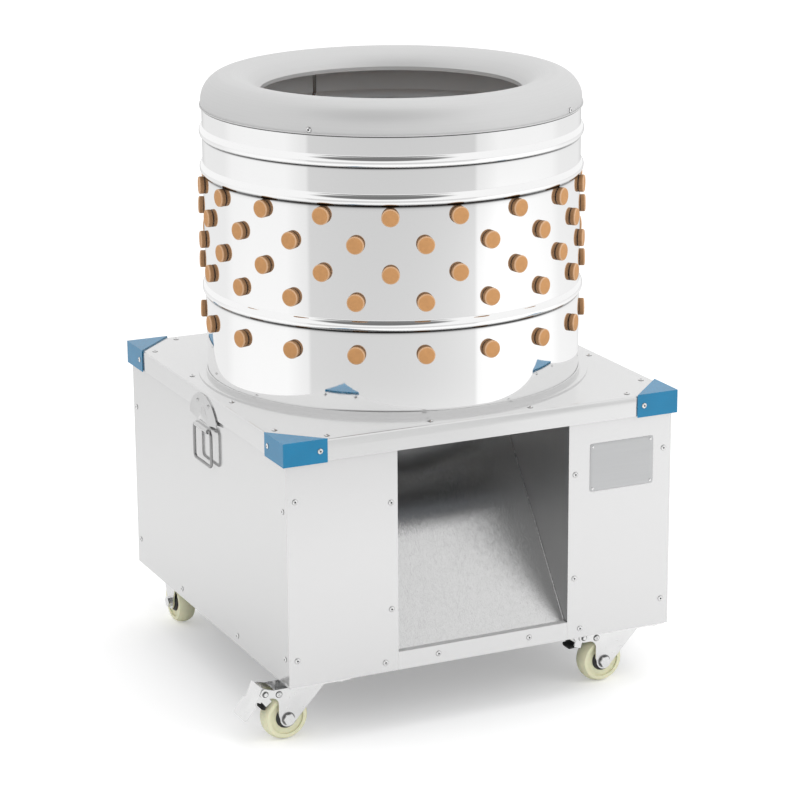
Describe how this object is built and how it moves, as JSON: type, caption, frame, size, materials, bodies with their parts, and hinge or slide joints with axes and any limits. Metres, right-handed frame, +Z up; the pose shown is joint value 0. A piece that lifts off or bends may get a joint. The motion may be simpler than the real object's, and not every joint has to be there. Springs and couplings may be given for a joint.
{
  "type": "poultry plucker",
  "caption": "Drum poultry plucker: a finger-lined drum over a belt-driven finger plate, on a wheeled sheet-metal box with a feather chute and bail handles.",
  "frame": {"origin": "on the floor, under the middle of the drum", "axes": "+Z up along the drum's axis, -Y out of the feather chute, +X to the right as seen from the chute"},
  "size_m": [0.783, 0.6756, 0.969],
  "materials": {
    "drum_steel": "mirror-polished stainless sheet",
    "rim_steel": "satin stainless sheet",
    "sheet_steel": "bright satin stainless sheet",
    "chute_steel": "satin stainless sheet",
    "cap_blue": "smooth blue paint",
    "finger_rubber": "matt tan rubber",
    "wheel_nylon": "satin cream nylon",
    "castor_zinc": "bright zinc plate",
    "brake_rubber": "matt black rubber",
    "frame_steel": "grey paint",
    "rotor_steel": "satin stainless plate",
    "shaft_steel": "turned steel",
    "pulley_iron": "machined iron",
    "bearing_iron": "painted cast iron",
    "motor_paint": "satin dark paint",
    "belt_rubber": "matt black rubber",
    "switch_plastic": "fine-grained grey plastic",
    "button_green": "glossy green plastic",
    "button_red": "glossy red plastic",
    "gland_plastic": "black plastic",
    "screw_steel": "bright zinc"
  },
  "bodies": {
    "machine": {"drum": "drum_steel", "drum_rim": "rim_steel", "base_ring": "sheet_steel", "finger_row_1": "finger_rubber", "finger_row_2": "finger_rubber", "finger_row_3": "finger_rubber", "finger_row_4": "finger_rubber", "finger_row_5": "finger_rubber", "table_top": "sheet_steel", "corner_caps": "cap_blue", "left_panel": "sheet_steel", "right_panel": "sheet_steel", "back_panel": "sheet_steel", "front_left_panel": "sheet_steel", "front_right_panel": "sheet_steel", "sill": "sheet_steel", "chute_floor": "chute_steel", "chute_wall_left": "chute_steel", "chute_wall_right": "chute_steel", "frame_tubes": "frame_steel", "cross_beams": "frame_steel", "left_handle_plate": "castor_zinc", "right_handle_plate": "castor_zinc", "front_left_castor_plate": "castor_zinc", "front_right_castor_plate": "castor_zinc", "rear_brackets": "castor_zinc", "rear_axles": "screw_steel", "upper_bearing": "bearing_iron", "lower_bearing": "bearing_iron", "motor": "motor_paint", "motor_mount": "frame_steel", "belt": "belt_rubber", "switch_box": "switch_plastic", "cable_gland": "gland_plastic", "panel_screws": "screw_steel", "table_screws": "screw_steel", "rim_screws": "screw_steel"},
    "rotor": {"rotor_plate": "rotor_steel", "rotor_fingers": "finger_rubber", "rotor_hub": "rotor_steel", "main_shaft": "shaft_steel", "driven_pulley": "pulley_iron"},
    "motor_rotor": {"motor_shaft": "shaft_steel", "drive_pulley": "pulley_iron"},
    "front_left_swivel": {"front_left_fork": "castor_zinc", "front_left_axle": "screw_steel"},
    "front_left_roller": {"front_left_wheel": "wheel_nylon"},
    "front_left_brake": {"front_left_pedal": "castor_zinc", "front_left_brake_block": "brake_rubber"},
    "front_right_swivel": {"front_right_fork": "castor_zinc", "front_right_axle": "screw_steel"},
    "front_right_roller": {"front_right_wheel": "wheel_nylon"},
    "front_right_brake": {"front_right_pedal": "castor_zinc", "front_right_brake_block": "brake_rubber"},
    "rear_left_roller": {"rear_left_wheel": "wheel_nylon"},
    "rear_right_roller": {"rear_right_wheel": "wheel_nylon"},
    "left_handle": {"left_bail": "castor_zinc"},
    "right_handle": {"right_bail": "castor_zinc"},
    "start": {"start_button": "button_green"},
    "stop": {"stop_button": "button_red"}
  },
  "joints": [
    {"name": "rotor_spin", "type": "hinge", "parent": "machine", "child": "rotor", "pos_m": [0, 0, 0.5], "axis": [0, 0, 1], "continuous": true},
    {"name": "motor_spin", "type": "hinge", "parent": "machine", "child": "motor_rotor", "pos_m": [0, 0.215, 0.2], "axis": [0, 0, 1], "continuous": true},
    {"name": "front_left_turn", "type": "hinge", "parent": "machine", "child": "front_left_swivel", "pos_m": [-0.276, -0.276, 0.0875], "axis": [0, 0, 1], "continuous": true},
    {"name": "front_left_roll", "type": "hinge", "parent": "front_left_swivel", "child": "front_left_roller", "pos_m": [-0.318, -0.276, 0.0375], "axis": [0, 1, 0], "continuous": true},
    {"name": "front_left_brake_tip", "type": "hinge", "parent": "front_left_swivel", "child": "front_left_brake", "pos_m": [-0.355, -0.276, 0.083], "axis": [0, 1, 0], "range_deg": [0, 54]},
    {"name": "front_right_turn", "type": "hinge", "parent": "machine", "child": "front_right_swivel", "pos_m": [0.276, -0.276, 0.0875], "axis": [0, 0, 1], "continuous": true},
    {"name": "front_right_roll", "type": "hinge", "parent": "front_right_swivel", "child": "front_right_roller", "pos_m": [0.234, -0.276, 0.0375], "axis": [0, 1, 0], "continuous": true},
    {"name": "front_right_brake_tip", "type": "hinge", "parent": "front_right_swivel", "child": "front_right_brake", "pos_m": [0.197, -0.276, 0.083], "axis": [0, 1, 0], "range_deg": [-54, 0]},
    {"name": "rear_left_roll", "type": "hinge", "parent": "machine", "child": "rear_left_roller", "pos_m": [-0.276, 0.276, 0.0375], "axis": [1, 0, 0], "continuous": true},
    {"name": "rear_right_roll", "type": "hinge", "parent": "machine", "child": "rear_right_roller", "pos_m": [0.276, 0.276, 0.0375], "axis": [1, 0, 0], "continuous": true},
    {"name": "left_bail_swing", "type": "hinge", "parent": "machine", "child": "left_handle", "pos_m": [-0.337, -0.01, 0.429], "axis": [0, 1, 0], "range_deg": [0, 95]},
    {"name": "right_bail_swing", "type": "hinge", "parent": "machine", "child": "right_handle", "pos_m": [0.337, -0.01, 0.429], "axis": [0, -1, 0], "range_deg": [0, 95]},
    {"name": "start_press", "type": "slide", "parent": "machine", "child": "start", "axis": [-1, 0, 0], "range_m": [0, 0.004], "stiffness_N_per_m": 600, "springref_m": -0.002},
    {"name": "stop_press", "type": "slide", "parent": "machine", "child": "stop", "axis": [-1, 0, 0], "range_m": [0, 0.004], "stiffness_N_per_m": 600, "springref_m": -0.002}
  ],
  "couplings": [
    {"joint": "motor_spin", "follows": "rotor_spin", "ratio": 5}
  ]
}
